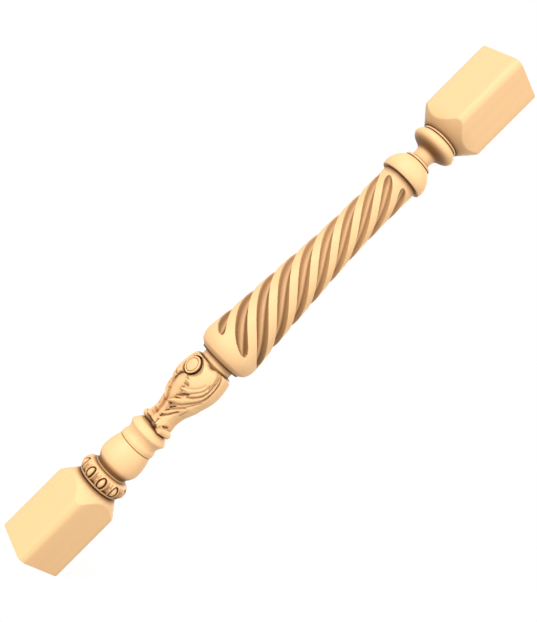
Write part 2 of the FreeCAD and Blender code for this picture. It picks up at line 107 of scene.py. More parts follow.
def block_shape(end, corner_start, neck, neck_radius):
    """The surface of a block from its flat end to its neck.

    Stations 0 to 1 cross the end's chamfer, 1 to 2 the wall, 2 to 3 the soft edge and 3 to 4 the cone, which
    would meet a sharp corner at the height corner_start.
    """
    corner = block_half * math.sqrt(2)
    arc_middle = (block_half - block_edge_radius) * math.sqrt(2)
    arc_end = math.pi / 4 - math.atan2(block_half - block_edge_radius, block_half)
    way = math.copysign(1, neck - end)
    slope = abs(neck - corner_start) / (corner - neck_radius)
    soft_in = block_soft_edge / math.hypot(1, slope)
    soft_up = block_soft_edge * slope / math.hypot(1, slope)

    def shape(turn, station):
        from_corner = np.abs(turn % (math.pi / 2) - math.pi / 4)
        chord = block_edge_radius**2 - (arc_middle * np.sin(from_corner)) ** 2
        rounded = arc_middle * np.cos(from_corner) + np.sqrt(np.maximum(chord, 0))
        flat = block_half / np.cos(math.pi / 4 - from_corner)
        reach = np.where(from_corner < arc_end, rounded, flat)
        edge = abs(corner_start - end) + (corner - reach) * slope
        share = station - np.minimum(np.floor(station), 3)
        cone_radius = reach - soft_in
        cone_start = edge + soft_up
        stretches = [station < 1, station < 2, station < 3]
        radius = np.select(
            stretches,
            [reach - block_chamfer * (1 - share), reach, reach - soft_in * share**2],
            cone_radius + share * (neck_radius - cone_radius),
        )
        rise = np.select(
            stretches,
            [
                block_chamfer * share,
                block_chamfer + share * (edge - block_soft_edge - block_chamfer),
                edge - block_soft_edge * (1 - share) ** 2 + soft_up * share**2,
            ],
            cone_start + share * (abs(neck - end) - cone_start),
        )
        return radius, turn, end + way * rise, 0

    return shape


foot_shape = block_shape(foot_end, foot_corner, foot_neck, foot_neck_radius)
foot_block = wrapped("foot_block", block_turns, block_stations, foot_shape, foot_painted_shade)

# Egg ring: the ring of ten eggs above the foot, each egg in an oval hoop with a dart between two hoops.
# It is turned from the same wood and carved. A fine wrapped grid takes its turned section, and the carving is
# raised and sunk on it. An oval has a half width, a reach above its middle and a reach below.
ring_outline = [
    (28.0, 123.5), (29.6, 126.6), (30.6, 127.0), (32.2, 127.6), (32.7, 128.6), (32.4, 129.6), (33.4, 131.0),
    (34.8, 133.6), (35.6, 136.5), (35.8, 139.0), (35.2, 142.0), (34.4, 144.2), (33.5, 145.8), (32.5, 147.1),
    (30.6, 148.2), (28.8, 149.0), (27.4, 149.6), (26.0, 150.0), (25.6, 150.5), (26.0, 151.0), (25.4, 152.2),
    (24.4, 153.0), (22.6, 154.5),
]
ring_heights = np.concatenate((
    [123.5, 126.6, 127.0, 127.3], np.linspace(127.6, 129.6, 5), np.linspace(130.0, 147.4, 36),
    np.linspace(147.8, 151.0, 11), [151.6, 152.2, 153.0, 154.5],
))
# Painted shade on the egg ring, by height: dark in the corner over the foot, under its lip and in the hollow
# over it.
ring_painted_shade = [
    (123.5, 0.9), (127.6, 0.85), (128.6, 0.35), (129.6, 0.3), (131, 0.3), (136, 0.12), (147.8, 0.1),
    (149.2, 0.25), (150.2, 0.7), (151.0, 0.35), (152.2, 0.35), (153, 0.6),
]
ring_columns = 240
ring_radius = 35.5
carving_low, carving_low_fade = 129.8, 1.2
carving_high, carving_high_fade = 148.2, 0.9
egg_spacing = full_turn / 10
egg_turn = math.radians(-2)
egg_middle, egg_offset = 138.4, 0.5
egg_oval, egg_rise, egg_roundness = (4.3, 7.0, 8.3), 4.2, 2.4
groove_oval, groove_depth, groove_steepness = (6.1, 8.6, 10.2), 3.0, 7
hoop_oval, hoop_rise, hoop_fall, hoop_crest = (8.1, 10.6, 13.0), 0.7, 1.2, 0.16
dart_place, dart_width, dart_depth, dart_top, dart_fade = 11.15, 1.2, 1.5, 144, 3
vein_place, vein_width, vein_depth, vein_top, vein_fade = 2.75, 0.6, 1.2, 147.5, 2
field_depth = 0.2
undercut_depth, undercut_top, undercut_length = 1.1, 134.5, 3.5
# Painted shade in the sunk parts of the carving, darker where it is sunk deeper.
carving_shade, carving_shade_start, carving_shade_depth = 0.7, 0.4, 2.6


def outline_at(height, outline):
    """The radius or angle that an outline of radii or angles and heights has at a height."""
    across, heights = zip(*outline)
    return np.interp(height, heights, across)


def blend(value, start, length):
    """From nought at the start to one a length further on, or a length back where it is negative."""
    return np.clip((value - start) / length, 0, 1)


def even_turns(columns):
    return np.arange(columns) * full_turn / columns


def ring_shape(turn, height):
    along = ((turn - egg_turn + egg_spacing / 2) % egg_spacing - egg_spacing / 2) * ring_radius
    up = height - egg_middle

    def oval(offset, size):
        half_width, above, below = size
        return np.hypot(offset / half_width, np.where(up > 0, up / above, up / below))

    egg = oval(along + egg_offset, egg_oval)
    groove = oval(np.abs(along), groove_oval)
    hoop = oval(np.abs(along), hoop_oval)
    from_dart = dart_place - np.abs(along)
    dart = np.exp(-((from_dart / dart_width) ** 2)) * blend(height, dart_top, -dart_fade)
    vein = np.exp(-(((from_dart - vein_place) / vein_width) ** 2)) * blend(height, vein_top, -vein_fade)
    undercut = blend(height, undercut_top, -undercut_length)
    carving = -field_depth - dart_depth * dart - vein_depth * vein - undercut_depth * undercut
    carving = np.where(hoop < 1, hoop_rise - hoop_fall * ((groove - 1) / hoop_crest - 1) ** 2, carving)
    carving = np.where(groove < 1, -groove_depth * np.clip((1 - groove) * groove_steepness, 0, 1), carving)
    dome = np.sqrt(np.maximum(1 - egg**egg_roundness, 0))
    carving = np.where(egg < 1, egg_rise * dome - groove_depth, carving)
    carved = blend(height, carving_low, carving_low_fade) * blend(height, carving_high, -carving_high_fade)
    # Painted shade, by how deep the carving is sunk.
    painted_shade = carving_shade * blend(-carving, carving_shade_start, carving_shade_depth) * carved
    return outline_at(height, ring_outline) + carving * carved, turn, height, painted_shade


egg_ring = wrapped("egg_ring", even_turns(ring_columns), ring_heights, ring_shape, ring_painted_shade)

# Vase: the smooth swelling over the egg ring with its band, cove and flange, of the same wood.
# It is turned on the lathe. Its section is a chain of smooth runs of radii and heights that meet in sharp
# corners, each with the count of its points, and is wrapped round the axis.
turned_columns = 80
# Painted shade on the vase, by height: dark in its hollow over the egg ring, in the fine groove and the cove,
# and under the flange.
vase_painted_shade = [
    (150, 0.6), (153.5, 0.5), (158, 0.62), (160.5, 0.42), (164.5, 0), (196.6, 0), (197.8, 0.3), (199, 0),
    (205, 0), (209.5, 0.06), (214, 0), (218, 0.04), (228, 0.04), (230.5, 0.15), (232.5, 0.6),
]


def smooth_run(points, count):
    """Points on a smooth curve through the given points."""
    knots = np.array(points, float)
    padded = np.vstack((2 * knots[0] - knots[1], knots, 2 * knots[-1] - knots[-2]))
    curve = []
    for place in np.linspace(0, len(knots) - 1, count):
        index = min(int(place), len(knots) - 2)
        t = place - index
        a, b, c, d = padded[index : index + 4]
        square = 2 * a - 5 * b + 4 * c - d
        cube = 3 * b - a - 3 * c + d
        curve.append(0.5 * (2 * b + (c - a) * t + square * t**2 + cube * t**3))
    return curve


def turned(name, columns, runs, glaze):
    """A plain turned piece from the smooth runs of its section."""
    section = [runs[0][0][0]]
    for points, count in runs:
        section += smooth_run(points, count)[1:]
    section = np.array(section, float)

    def shape(turn, station):
        return section[station, 0], turn, section[station, 1], 0

    return wrapped(name, even_turns(columns), np.arange(len(section)), shape, glaze)


vase = turned("vase", turned_columns, [
    ([(21.5, 149.0), (23.4, 152.6)], 2),
    ([(23.4, 152.6), (24.0, 154.4), (25.6, 156.8), (28.2, 160.4), (30.3, 165.3), (31.0, 170.5), (30.7, 177.5),
      (29.7, 184.5), (28.2, 190.5), (26.8, 195.3), (26.0, 197.4)], 34),
    ([(26.0, 197.4), (25.5, 197.7), (25.5, 198.2), (26.4, 198.6)], 5),
    ([(26.4, 198.6), (26.8, 202.0), (26.6, 205.2)], 4),
    ([(26.6, 205.2), (25.4, 206.8), (24.7, 209.0), (24.6, 211.8), (25.2, 214.4), (26.8, 217.4),
      (28.2, 219.4)], 14),
    ([(28.2, 219.4), (28.7, 220.6), (28.8, 221.6), (28.4, 222.6)], 5),
    ([(28.4, 222.6), (27.4, 224.6), (25.6, 227.0), (23.4, 229.8), (21.3, 232.0)], 10),
    ([(21.3, 232.0), (11.0, 233.6)], 2),
], vase_painted_shade)

# Leaf bulb: the swelling between vase and shaft, with a leaf on each side that streams to front and back.
# It is carved in the same wood. A fine wrapped grid is sunk to a deep panel before each leaf, tips are raised
# on it and grooves sunk along it. Places are degrees from a leaf's middle, heights and half widths.
leaf_tips = [
    [(50, 313, 6.0), (58, 312, 4.0), (66, 311.2, 2.4), (73, 311.4, 0.8)],
    [(48, 303, 4.5), (56, 300.5, 3.2), (63, 298.6, 2.0), (71, 297, 0.8)],
    [(50, 289.4, 2.4), (59, 286.6, 1.7), (67, 284.8, 0.7)],
    [(40, 286, 6.0), (50, 282, 5.4), (60, 278.6, 4.2), (70, 275.2, 2.6), (80, 272, 0.8)],
    [(40, 275.6, 1.6), (50, 273.6, 1.5), (60, 271.8, 0.8)],
    [(38, 273, 3.0), (50, 268.6, 2.8), (61, 263, 1.0)],
    [(34, 268, 3.8), (48, 262.4, 3.6), (58, 258, 2.6), (67, 254.6, 0.9)],
    [(36, 254, 5.0), (48, 250.6, 3.6), (58, 248.6, 2.4), (67, 247.8, 1.0)],
    [(28, 258, 6.0), (37, 252, 6.4), (43, 246.5, 6.4), (45, 241.8, 5.4)],
]
leaf_edge = [
    (44, 236), (50, 250), (52, 258), (54, 266), (54, 276), (52, 284), (50, 290), (50, 296), (54, 300),
    (58, 306), (62, 311), (70, 314), (80, 317), (90, 319), (90, 346),
]
leaf_grooves = [
    ([(12, 346), (6, 340), (3, 335), (1.2, 326), (1.6, 315), (3.4, 308), (7, 301.5), (12, 296.5), (19, 291),
      (27, 286), (34, 282), (42, 278.5), (50, 276), (58, 274.2), (66, 272.6)], 1.8, 2.8),
    ([(20, 346), (14, 341), (11.5, 336), (10.4, 328), (10.8, 320), (13, 312.5), (17, 307), (23, 302.3),
      (29.4, 298), (38, 294.6)], 1.6, 2.7),
    ([(26, 346), (20, 341.5), (16.5, 336), (15, 330), (14.5, 322)], 1.5, 2.2),
    ([(19.5, 326), (21, 318), (25, 312), (31, 307), (37, 302.6), (41, 298.8)], 1.2, 1.9),
    ([(28, 322), (33, 314.5), (40, 309.5), (48, 305.5), (57, 302), (66, 300)], 1.4, 1.3),
    ([(57, 306.8), (63, 306.4), (70, 305.4)], 1.1, 2.8),
    ([(41, 298.4), (46, 296.2), (51, 293.6), (57, 290.2)], 1.4, 4.2),
    ([(57, 290.2), (63, 287.6), (68, 285.6)], 0.8, 1.5),
    ([(52, 287.4), (60, 284.6), (67, 283.4)], 0.8, 1.2),
    ([(2, 301), (5, 297), (10, 291.5), (16, 286.5), (22, 282.5), (28, 279), (34, 276),
      (38, 274.6)], 1.2, 1.9),
    ([(18, 282), (25, 278), (32, 274), (40, 270.5), (48, 267), (56, 263.5), (62, 260.8)], 1.2, 2.1),
    ([(42, 274.8), (46, 273), (50, 270.8), (54, 268.6)], 1.2, 3.6),
    ([(22, 271), (30, 266), (36, 262), (42, 258.8), (50, 255.5), (58, 252.8), (66, 250.6)], 1.3, 2.6),
    ([(4.5, 279), (4.5, 269)], 1.2, 1.3),
    ([(0, 245.4), (10, 244.6), (20, 242.6), (28, 240)], 1.4, 2.2),
]
panel_outline = [
    (7.0, 228), (7.0, 249.6), (12.0, 250.4), (12.8, 262), (16.6, 272), (22.1, 285), (26.8, 298), (28.4, 306),
    (28.6, 314), (27.4, 322), (26.8, 336), (26.8, 342), (26.0, 344.6), (24.6, 346.4), (22.0, 347.2),
]
leaf_outline = [
    (15.0, 228), (15.0, 232), (20.0, 235.6), (21.0, 238), (21.0, 242), (20.6, 246), (19.7, 253), (20.5, 262),
    (22.4, 270), (25.4, 277), (28.3, 284), (29.8, 291), (32.0, 298), (33.8, 304), (34.9, 311), (35.2, 318),
    (34.9, 325), (33.9, 332), (32.8, 338), (31.4, 342.8), (30.4, 344.2), (28.4, 345.6), (25.6, 346.6),
    (22.0, 347.2),
]
bulb_columns = 240
bulb_heights = np.concatenate((np.linspace(228, 341, 148), np.linspace(341.6, 347.2, 12)))
# Painted shade on the bulb, by height: dark at its foot on the flange and in the crease under the neck.
bulb_painted_shade = [(228, 0.5), (232, 0.4), (235, 0), (345, 0), (346, 0.8), (347.2, 1)]
leaf_edge_width = 5
leaf_foot, leaf_foot_lean, leaf_foot_fade = 233.4, 0.1, 0.9
shelf_heights, right_shelf, left_shelf = [278, 286], [0.88, 0.62], 0.85
right_shelf_reach, left_shelf_reach = 10, 18
tip_steps, groove_steps = 40, 60
groove_spread, groove_power, groove_on_panel = 1.25, 1.5, 0.4
# Painted shade in the grooves between the leaf's strands, darker where they are sunk deeper.
groove_shade, groove_shade_start, groove_shade_depth = 0.3, 0.4, 6
smooth_start, smooth_start_fade = -1.5, 3
smooth_end, smooth_end_fade = -38, 6
tab_angle, tab_low, tab_high, tab_reach = 57, 239, 249.6, 11.5
button_height, bulb_front = 329, 34.5
lip_half_width, lip_half_height = 20.8, 17.0
lip_depth, lip_steepness = 1.6, 18
# Painted shade over the step round the right side of each button socket.
lip_shade, lip_shade_edge, lip_shade_width, lip_shade_rise = 0.6, 1.01, 0.14, 1
socket_half_width, socket_half_height = 16.3, 14.9
socket_step, socket_depth, socket_steepness = 2, 7, 16
roll_height, roll_half_height, roll_angle = 237.6, 5.3, 34
roll_reach, roll_swell = 19.9, 5.4
roll_half_width, roll_spread = 8.6, 2
tongue_angle, tongue_fade = 30, 10
# Painted shade over the tongue under each leaf's middle.
tongue_low, tongue_high, tongue_length, tongue_shade = 243, 285, 20, 0.15
# Painted shade on the leaves' side walls where they fall to the panel, stronger on the left half and higher
# up.
flank_cover, flank_low, flank_middle = 0.3, 250, 300
right_flank_shade, left_flank_shade = (0.12, 0.4), (0.4, 1.7)
dip_angle, dip_spread = 47, 17
dip_depth, dip_start, dip_length, dip_power = 4.6, 326, 20, 1.5


def squared_distance(fold, height, angle, level):
    """The square of the distance over the leaf from each point to the place at an angle and a level."""
    around = np.radians(fold - angle) * outline_at(level, leaf_outline)
    return around**2 + (height - level) ** 2


def leaf_cover(fold, height, right_half):
    """How far the leaf stands out between the panel's ground and its full height, from nought to one."""
    edge = outline_at(height, leaf_edge)
    cover = np.sqrt(blend(fold, edge, -leaf_edge_width))
    shelf = np.where(right_half, np.interp(height, shelf_heights, right_shelf), left_shelf)
    shelf_edge = edge + np.where(right_half, right_shelf_reach, left_shelf_reach)
    cover = np.maximum(cover, shelf * blend(fold, shelf_edge, -leaf_edge_width))
    for places in leaf_tips:
        for angle, level, width in smooth_run(places, tip_steps):
            distance = squared_distance(fold, height, angle, level) / width**2
            cover = np.maximum(cover, np.sqrt(np.maximum(1 - distance, 0)))
    return cover * blend(height - fold * leaf_foot_lean, leaf_foot, leaf_foot_fade)


def grooved(fold, height):
    """How deep the grooves between the leaf's strands are sunk."""
    sunk = np.zeros_like(fold)
    for places, width, depth in leaf_grooves:
        nearest = np.full_like(fold, np.inf)
        for angle, level in smooth_run(places, groove_steps):
            nearest = np.minimum(nearest, squared_distance(fold, height, angle, level))
        off_line = np.sqrt(nearest) / width / groove_spread
        sunk = np.maximum(sunk, depth * np.exp(-(off_line**groove_power)))
    return sunk


def bulb_shape(turn, height):
    """The bulb with its panels, leaves, grooves, button sockets and rolls.

    side is the angle from a leaf's middle, positive to the front. A leaf's right half lies right of the panel
    that it faces, seen from outside. One leaf keeps a smooth stretch behind its middle.
    """
    side = np.degrees(np.arctan2(-np.sin(turn), np.abs(np.cos(turn))))
    fold = np.abs(side)
    lean = np.radians(np.clip(fold, 0.1, 90))
    right_half = np.cos(turn) * np.sin(turn) < 0
    tab = (fold > tab_angle) & (height > tab_low) & (height < tab_high)
    ground = np.where(tab, tab_reach / np.sin(lean), outline_at(height, panel_outline))
    crest = outline_at(height, leaf_outline)
    cover = leaf_cover(fold, height, right_half)
    radius = ground + (crest - ground) * cover

    beside_smooth = np.maximum(
        blend(side, smooth_start, smooth_start_fade), blend(side, smooth_end, -smooth_end_fade)
    )
    strands = np.where(np.cos(turn) < 0, 1, beside_smooth)
    sunk = grooved(fold, height)
    radius = radius - sunk * strands * (groove_on_panel + (1 - groove_on_panel) * cover)

    off_front = bulb_front * np.abs(np.cos(turn))
    lip = np.hypot(off_front / lip_half_width, (height - button_height) / lip_half_height)
    lip_ground = crest - lip_depth * np.clip((1 - lip) * lip_steepness, 0, 1)
    radius = np.where(lip < 1, np.minimum(radius, lip_ground), radius)
    socket = np.hypot(off_front / socket_half_width, (height - button_height) / socket_half_height)
    socket_ground = crest - socket_step - socket_depth * np.clip((1 - socket) * socket_steepness, 0, 1)
    radius = np.where(socket < 1, np.minimum(radius, socket_ground), radius)

    bulge = np.sqrt(np.maximum(1 - ((height - roll_height) / roll_half_height) ** 2, 0))
    roll_end = (roll_reach + roll_swell * bulge) / np.cos(lean)
    roll_side = (roll_half_width + roll_spread * bulge) / np.sin(lean)
    rolled = np.maximum(radius, np.minimum(roll_end, roll_side))
    radius = np.where((bulge > 0) & (fold < roll_angle), rolled, radius)

    tongue = blend(fold, tongue_angle, -tongue_fade) * blend(height, tongue_high, -tongue_length)
    flank = np.clip(1 - np.abs(cover - flank_cover) / flank_cover, 0, 1) * (height > flank_low) * (socket > 1)
    step = (height > flank_middle).astype(int)
    flank_shade = np.where(right_half, np.take(right_flank_shade, step), np.take(left_flank_shade, step))
    # Painted shade in the grooves, on the leaves' side walls, round the sockets and over the tongue.
    painted_shade = np.clip((sunk - groove_shade_start) / groove_shade_depth, 0, groove_shade) * strands
    painted_shade = painted_shade + flank * flank_shade
    in_lip = blend(lip, lip_shade_edge, -lip_shade_width) * (radius > ground + lip_shade_rise) * right_half
    painted_shade = painted_shade + lip_shade * in_lip + tongue_shade * tongue * (height > tongue_low)
    dip = right_half * np.exp(-(((fold - dip_angle) / dip_spread) ** 2))
    dip = dip_depth * dip * blend(height, dip_start, dip_length) ** dip_power
    return radius, turn, height - dip, painted_shade


leaf_bulb = wrapped("leaf_bulb", even_turns(bulb_columns), bulb_heights, bulb_shape, bulb_painted_shade)

# Scroll buttons: a ringed disc in front and another behind, each standing in the round end of a deep panel.
# They are cut from the same wood. A turned disc is laid over to face the front, and its twin the back.
button_columns = 56
# Painted shade on the button's side wall, dark down in its socket.
button_painted_shade = [(20, 0.8), (29.5, 0.7), (31, 0)]
buttons = []
for facing in (1, -1):
    button = turned("scroll_button", button_columns, [
        ([(12.5, 20.0), (12.5, 30.6)], 3),
        ([(12.5, 30.6), (12.3, 31.4), (11.7, 31.9), (10.9, 32.0), (10.3, 31.8), (9.9, 31.3)], 9),
        ([(9.9, 31.3), (9.6, 30.9), (9.3, 31.3)], 4),
        ([(9.3, 31.3), (8.8, 32.0), (7.6, 32.5), (4.5, 32.9), (0.4, 33.0)], 10),
    ], button_painted_shade)
    laid_over = Matrix.Rotation(facing * math.pi / 2, 4, "X")
    button.data.transform(Matrix.Translation((0, 0, button_height / per_metre)) @ laid_over)
    buttons.append(button)

# Neck: the short cylinder over the bulb with a thin plate under the shaft, of the same wood.
# It is turned on the lathe, as a plain section that is wrapped round the axis.
# Painted shade on the neck, by height: dark in the crease over the bulb and as a dark line at the plate's
# edge; negative amounts paint light on the cylinder between.
neck_painted_shading = [
    (345, 0.6), (347.5, 0.6), (349, -0.15), (353, -0.2), (355, -0.2), (355.7, 0.5), (356, 1),
]
neck = turned("neck", turned_columns, [
    ([(20.0, 337.0), (23.9, 339.0)], 2),
    ([(23.9, 339.0), (23.9, 355.2)], 9),
    ([(23.9, 355.2), (24.4, 355.6), (30.8, 356.0)], 3),
    ([(30.8, 356.0), (31.0, 356.6), (30.8, 357.2)], 3),
    ([(30.8, 357.2), (29.6, 357.3)], 2),
    ([(29.6, 357.3), (29.0, 359.5)], 2),
], neck_painted_shading)

# Fluted shaft: the long taper with six spiral flutes that run out in rounded spoons, and the round under it.
# It is turned from the same wood and fluted. The grid's columns climb with the flutes, so that each flute's
# sharp edges lie on columns. Places across a flute are degrees from its middle, or shares of its half width.
shaft_outline = smooth_run([
    (28.0, 357.2), (30.8, 357.4), (32.2, 358.6), (35.2, 360.8), (38.2, 363.2), (40.0, 366.8), (41.2, 370.0),
    (42.2, 375.0), (42.4, 381.0), (41.6, 390.0), (40.5, 400.0), (37.6, 431.0), (34.7, 471.0), (32.2, 510.0),
    (29.7, 544.0), (27.4, 583.0), (26.3, 625.0), (26.4, 668.0), (26.7, 697.0),
], 400)
shaft_heights = np.concatenate((
    [357.2, 357.3, 357.5, 357.9], np.linspace(358.6, 381.0, 17), np.linspace(382, 398, 18),
    np.linspace(400, 670, 91), np.linspace(672, 689, 20), [692.0, 695.0, 696.6],
))
# Painted shade on the shaft, by height: dark at the plate under its round and under the collar.
shaft_painted_shade = [(357.2, 0.8), (358.6, 0.35), (366, 0), (686, 0), (695.8, 0.5)]
flute_count = 6
flute_pitch = 360 / flute_count
flute_first, flute_first_height, flute_lead = -45, 512.5, 228
flute_low, flute_high, flute_half = 383.5, 685.8, 17.3
low_spoon, high_spoon = 15, 13
low_flute_depth, high_flute_depth = 7.0, 5.4
flute_flatness, flute_fullness = 3, 0.7
# Painted shade across each flute, from one edge to the other: dark near both walls, most on the right wall,
# light in the middle, and more at the lower end.
flute_shade = [
    (-1, 0.3), (-0.9, 0.48), (-0.75, 0.48), (-0.55, 0.34), (-0.35, 0.25), (-0.08, 0.06), (0.14, 0.08),
    (0.32, 0.34), (0.5, 0.54), (0.75, 0.4), (1, 0.25),
]
low_shade_share, low_shade_gain, low_shade_added = 0.6, 0.7, 0.15
flute_steps = [0, 3, 6, 8.5, 11, 13, 14.6, 15.8, 16.6, 17.1, 17.6, 19.5, 23, 26.5]
flute_offsets = sorted({side * angle for angle in flute_steps for side in (-1, 1)} | {-flute_pitch / 2})
shaft_turns = np.radians([
    flute_pitch * flute + flute_first + offset for flute in range(flute_count) for offset in flute_offsets
])


def shaft_shape(turn, height):
    share = np.clip((height - flute_low) / (flute_high - flute_low), 0, 1)
    nearest_end = np.minimum((height - flute_low) / low_spoon, (flute_high - height) / high_spoon)
    opening = np.sqrt(np.maximum(1 - (1 - np.clip(nearest_end, 0, 1)) ** 2, 0))
    half_pitch = math.radians(flute_pitch / 2)
    offset = (turn - math.radians(flute_first) + half_pitch) % (2 * half_pitch) - half_pitch
    across = offset / (math.radians(flute_half) * np.maximum(opening, 1e-6))
    inside = np.minimum(np.abs(across), 1)
    full_depth = low_flute_depth + share * (high_flute_depth - low_flute_depth)
    depth = (1 - inside**flute_flatness) ** flute_fullness * opening * full_depth
    # Painted shade across the flute.
    places, amounts = zip(*flute_shade)
    lower = np.clip(low_shade_share - share, 0, 1)
    painted_shade = np.interp(across, places, amounts) * (1 + low_shade_gain * lower) + low_shade_added * lower
    painted_shade = np.where((inside < 1) & (opening > 0), painted_shade, 0)
    climb = (height - flute_first_height) * full_turn / flute_lead
    return outline_at(height, shaft_outline) - depth, turn - climb, height, painted_shade


fluted_shaft = wrapped("fluted_shaft", shaft_turns, shaft_heights, shaft_shape, shaft_painted_shade)

# Collar, throat and torus: the members between shaft and head, with a bead and fillets, of the same wood.
# They are turned on the lathe, as one plain section that is wrapped round the axis.
# Painted shade on collar, throat and torus, by height: dark in the corners and under the torus; negative
# amounts paint light on the bead and the fillet.
collar_painted_shading = [
    (692, 0.5), (695.85, 0.35), (696.4, 0), (725.2, 0), (726.4, 0.5), (727.2, -0.1), (729.2, 0), (730.4, 0.6),
    (733, 0.05), (739, 0), (742.5, 0.12), (746.5, 0.9), (749.5, 0.85), (752.5, 0.4), (756, 0), (766, 0),
    (767.7, 0.4), (768.4, -0.2), (770.5, -0.2), (771.2, 0.4),
]
collar = turned("collar", turned_columns, [
    ([(24.0, 692.0), (24.4, 695.9)], 2),
    ([(24.4, 695.9), (31.0, 695.8)], 2),
    ([(31.0, 695.8), (31.9, 696.3), (32.7, 698.5), (33.1, 702.2), (32.5, 707.0), (30.8, 712.6), (28.3, 717.2),
      (25.0, 721.2), (22.0, 724.4), (20.6, 725.6)], 24),
    ([(20.6, 725.6), (19.2, 726.0), (19.2, 726.6)], 3),
    ([(19.2, 726.6), (20.2, 727.4), (20.0, 728.8), (18.8, 729.9)], 6),
    ([(18.8, 729.9), (15.6, 730.3), (14.4, 731.6)], 4),
    ([(14.4, 731.6), (13.8, 735.0), (13.8, 738.0), (14.4, 742.0), (16.2, 745.2), (20.6, 748.2), (26.2, 750.9),
      (29.8, 753.2), (31.9, 755.8), (32.7, 758.4), (32.1, 761.6), (30.2, 764.8), (27.4, 767.0),
      (26.0, 767.5)], 40),
    ([(26.0, 767.5), (26.2, 767.9), (27.3, 768.2)], 3),
    ([(27.3, 768.2), (27.8, 769.3), (27.6, 770.6)], 4),
    ([(27.6, 770.6), (26.6, 770.9), (25.8, 771.8)], 3),
    ([(25.8, 771.8), (24.0, 775.0)], 2),
], collar_painted_shading)

# Head block: the square upper end that meets the handrail, of solid wood, with a steeper cone than the foot.
# It is made as the foot block is, upside down, from the top of the frame.
head_end = round(cad_box[1][2] * per_metre)
head_corner, head_neck, head_neck_radius = 798.4, 771, 29.2
# Painted shade on the head's cone, by height: darkest at the neck, where it faces down.
head_painted_shade = [(771, 0.6), (774, 0.4), (782, 0.14), (793, 0)]
head_shape = block_shape(head_end, head_corner, head_neck, head_neck_radius)
head_block = wrapped("head_block", block_turns, block_stations, head_shape, head_painted_shade)

# Whole baluster: one length of pale, finely sanded hardwood, so its stretches are joined into one piece.
# Faint fibres and growth rings run along it, and painted shade darkens the hollows of the carving and the
# turned corners, with painted light on some fillets. Places and lengths in the wood's pattern are in metres.
fibre_scale = (420, 420, 14)
drift_scale = (14, 14, 2.2)
pith_place, pith_scale = (0.07, 0.045, 0), (1, 1, 0.012)
ring_rate, ring_drift = 900, 0.02
noise_middle = 0.5
fibre_tone, ring_tone, drift_tone = 0.07, 0.006, 0.05
wood_roughness, fibre_roughness, drift_roughness = 0.5, 0.12, 0.1
wood_specular = 0.3
fibre_relief, fibre_height = 0.06, 0.0002
# Painted shade: the colour darkens where other wood lies near, within the reach below, and by each point's
# painted shading, along the tones below, of which the last is the wood's own colour.
shade_reach, shade_samples = 0.009, 16
shade_strength = 0.8
wood_and_shade_tones = [
    (0.0, (0.07, 0.028, 0.007, 1)),
    (0.2, (0.16, 0.072, 0.023, 1)),
    (0.4, (0.31, 0.155, 0.06, 1)),
    (0.6, (0.52, 0.285, 0.125, 1)),
    (0.8, (0.76, 0.45, 0.21, 1)),
    (0.96, (0.93, 0.58, 0.282, 1)),
]


class Wire:
    """A socket whose number or colour runs on to other nodes, so that shader maths reads as plain sums."""

    def __init__(self, tree, socket):
        self.tree = tree
        self.socket = socket

    @classmethod
    def node(cls, tree, kind, settings, sockets, output=0):
        """An output of a new node, whose settings are set first, then the values or links of its sockets."""
        made = tree.nodes.new(kind)
        for name, value in settings.items():
            if name == "stops":
                elements = made.color_ramp.elements
                elements.remove(elements[1])
                elements[0].position, elements[0].color = value[0]
                for position, colour in value[1:]:
                    elements.new(position).color = colour
            else:
                setattr(made, name, value)
        for name, value in sockets.items():
            if isinstance(value, cls):
                tree.links.new(value.socket, made.inputs[name])
            else:
                made.inputs[name].default_value = value
        return cls(tree, made.outputs[output])

    def math(self, operation, *values):
        return Wire.node(self.tree, "ShaderNodeMath", {"operation": operation}, dict(enumerate(values)))

    def __add__(self, other):
        return self.math("ADD", self, other)

    def __radd__(self, other):
        return self.math("ADD", other, self)

    def __sub__(self, other):
        return self.math("SUBTRACT", self, other)

    def __rsub__(self, other):
        return self.math("SUBTRACT", other, self)

    def __mul__(self, other):
        return self.math("MULTIPLY", self, other)

    def __rmul__(self, other):
        return self.math("MULTIPLY", other, self)


bpy.ops.object.select_all(action="DESELECT")
for stretch in [foot_block, egg_ring, vase, leaf_bulb, neck, fluted_shaft, collar, head_block] + buttons:
    stretch.select_set(True)
bpy.context.view_layer.objects.active = foot_block
bpy.ops.object.join()
baluster = bpy.context.object
baluster.name = "carved_baluster"

wood = bpy.data.materials.new("pale_wood")
wood.use_nodes = True
grain = wood.node_tree
place = Wire.node(grain, "ShaderNodeTexCoord", {}, {}, "Object")
fibre_place = Wire.node(grain, "ShaderNodeMapping", {}, {"Vector": place, "Scale": fibre_scale})
fibre_noise = {"Vector": fibre_place, "Scale": 1.0, "Detail": 4.0, "Roughness": 0.6}
fibres = Wire.node(grain, "ShaderNodeTexNoise", {}, fibre_noise)
drift_place = Wire.node(grain, "ShaderNodeMapping", {}, {"Vector": place, "Scale": drift_scale})
drift = Wire.node(grain, "ShaderNodeTexNoise", {}, {"Vector": drift_place, "Scale": 1.0, "Detail": 3.0})
from_pith = {"Vector": place, "Location": pith_place, "Scale": pith_scale}
ring_place = Wire.node(grain, "ShaderNodeMapping", {}, from_pith)
ring_distance = Wire.node(grain, "ShaderNodeVectorMath", {"operation": "LENGTH"}, {0: ring_place}, "Value")
ring_wave = ring_rate * (ring_distance + ring_drift * drift)
rings = ring_wave.math("SINE", ring_wave)
tone = 1 + fibre_tone * (fibres - noise_middle) + ring_tone * rings + drift_tone * (drift - noise_middle)
sky_settings = {"samples": shade_samples, "only_local": True}
